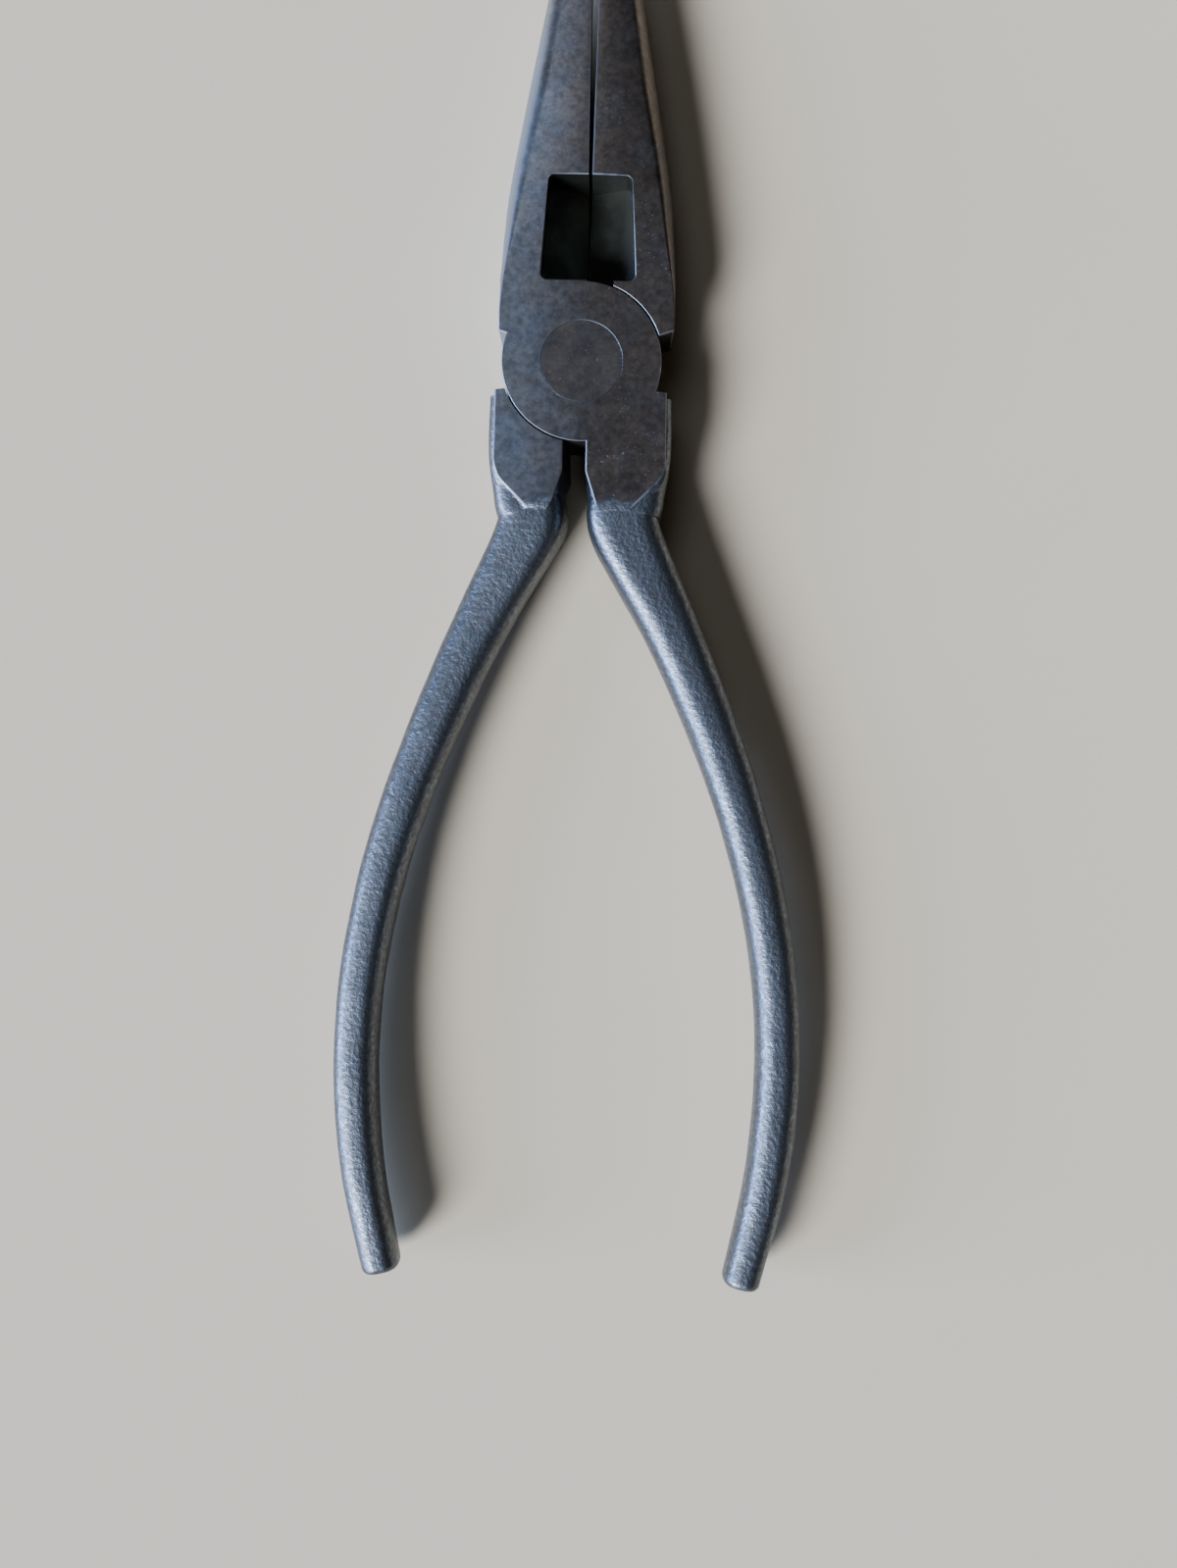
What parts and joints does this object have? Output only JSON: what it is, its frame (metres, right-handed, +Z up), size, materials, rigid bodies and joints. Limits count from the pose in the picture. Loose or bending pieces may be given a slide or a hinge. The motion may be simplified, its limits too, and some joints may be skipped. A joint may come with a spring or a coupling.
{
  "type": "long nose pliers",
  "caption": "Long nose pliers with side cutting knives, a flush riveted lap joint and bare forged bow handles.",
  "frame": {"origin": "on the rivet's axis, at the lower machined face that the pliers lie on", "axes": "+Y from the rivet to the jaw tips, +Z up out of the upper machined face along the rivet's axis, +X to the right seen from above"},
  "size_m": [0.0698, 0.2137, 0.0127],
  "materials": {
    "blued_steel_top": "dark blued tool steel, machined faces smooth and worn, handles forged and finely grained",
    "blued_steel_under": "dark tool steel with a browner patina, machined faces smooth and worn, handles forged and finely grained",
    "rivet_steel": "rivet ground flush with the joint, dark patina with a partly bright ring"
  },
  "bodies": {
    "half_with_rivet": {"left_jaw_half": "blued_steel_top", "pivot_rivet": "rivet_steel"},
    "turning_half": {"right_jaw_half": "blued_steel_under"}
  },
  "joints": [
    {"name": "pivot", "type": "hinge", "parent": "half_with_rivet", "child": "turning_half", "pos_m": [0, 0, 0.00635], "axis": [0, 0, -1], "range_deg": [-0.9, 38]}
  ]
}
